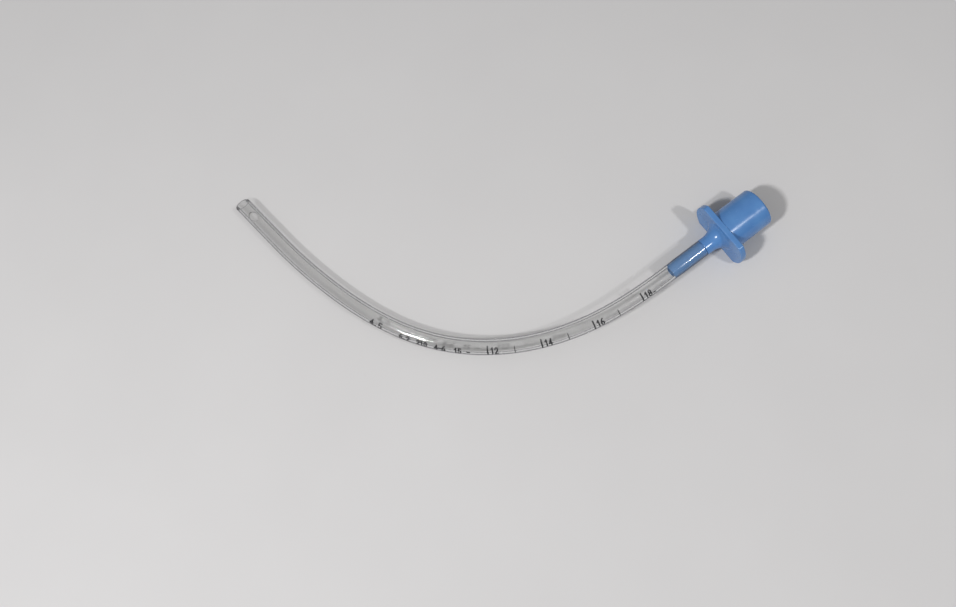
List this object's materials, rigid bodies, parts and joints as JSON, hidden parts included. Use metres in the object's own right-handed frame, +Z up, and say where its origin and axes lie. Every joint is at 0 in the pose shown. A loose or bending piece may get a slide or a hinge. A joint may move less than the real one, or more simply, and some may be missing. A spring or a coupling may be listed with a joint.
{
  "type": "endotracheal tube",
  "caption": "Uncuffed clear curved airway tube with a bevelled, rounded tip and side eye, pushed onto a flanged moulded connector with a tapered 15 mm male cone",
  "frame": {"origin": "middle of the connector flange's lower flat, on the surface that the part lies on", "axes": "+X along the connector's axis towards the free end of its cone, +Y the side that the tube bends to, +Z up"},
  "size_m": [0.1581, 0.1422, 0.016],
  "materials": {
    "clear_pvc": "clear soft PVC, smooth and slightly grey, with black ink marks",
    "blue_moulding": "smooth mid-blue injection moulded plastic, satin gloss"
  },
  "bodies": {
    "root": {"tube": "clear_pvc", "connector": "blue_moulding"}
  },
  "joints": []
}
